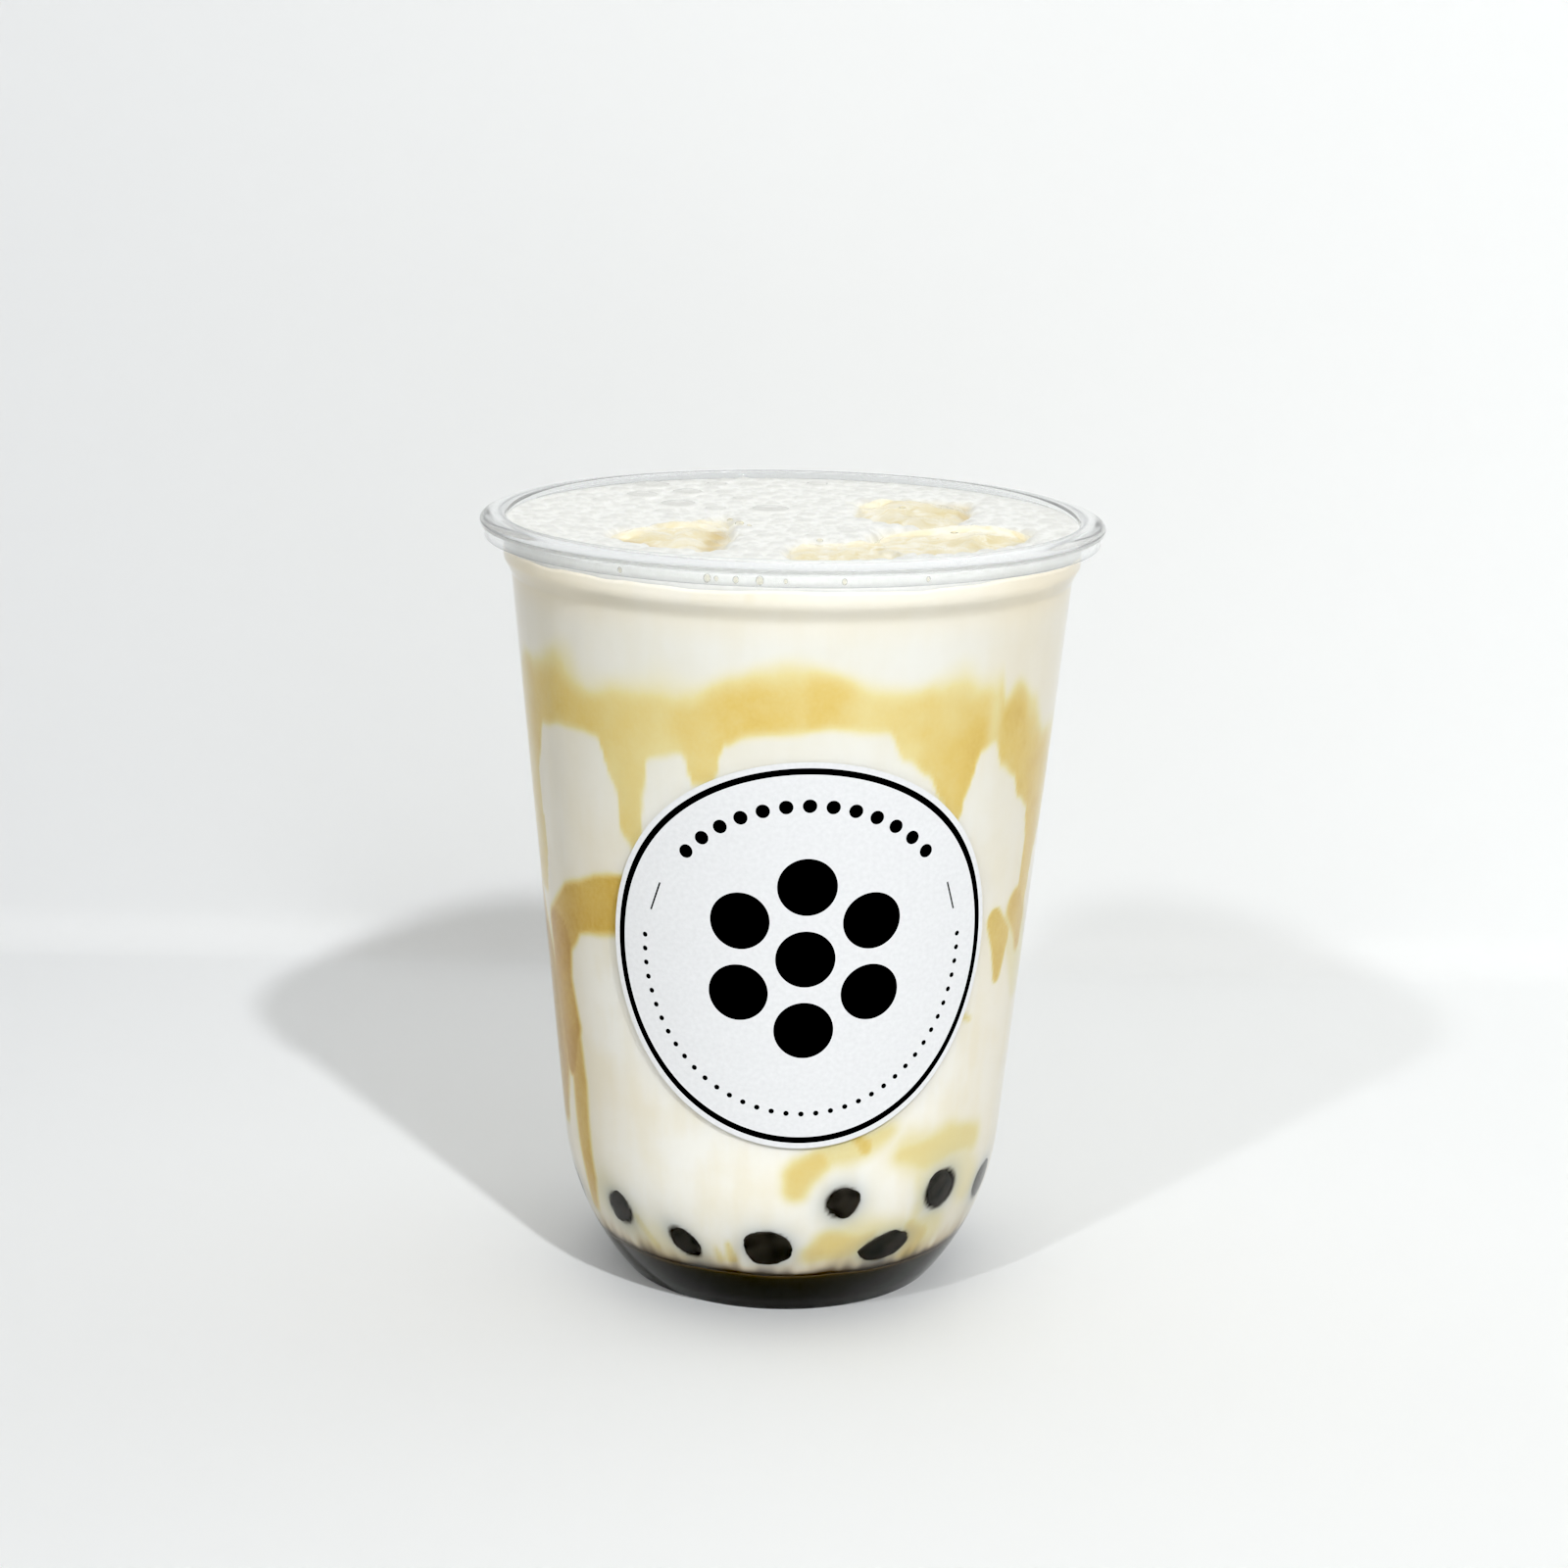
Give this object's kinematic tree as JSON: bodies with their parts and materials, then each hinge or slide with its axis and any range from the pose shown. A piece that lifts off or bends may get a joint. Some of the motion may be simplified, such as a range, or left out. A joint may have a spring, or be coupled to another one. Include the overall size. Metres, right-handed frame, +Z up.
{
  "type": "bubble tea in a clear cup",
  "caption": "Milk tea with dark syrup, tapioca pearls and froth in a clear rounded-bottom takeaway cup, with a round paper label on its wall.",
  "frame": {"origin": "centre of the foot, on the plane that the cup stands on", "axes": "+Z up along the cup's axis of revolution; the front with the label faces -Y; +X is to the right of someone who looks at the label"},
  "size_m": [0.095, 0.095, 0.12],
  "materials": {
    "clear_cup": "clear injection-moulded polypropylene, glossy, thin wall",
    "dark_syrup": "thick dark brown-sugar syrup seen through the cup, near black",
    "milk_tea": "opaque cream-white milk tea with pale golden syrup streaks on the wall",
    "froth": "fine white froth with larger wet bubbles and wet ice at the surface",
    "label_paper": "satin coated white paper with a printed black ring and plain round dots",
    "tapioca": "black-brown tapioca pearls, glossy and wet",
    "ice": "wet ice tinted by the milk tea around it"
  },
  "bodies": {
    "root": {"cup": "clear_cup", "syrup": "dark_syrup", "milk_tea": "milk_tea", "froth": "froth", "label": "label_paper"}
  },
  "joints": []
}
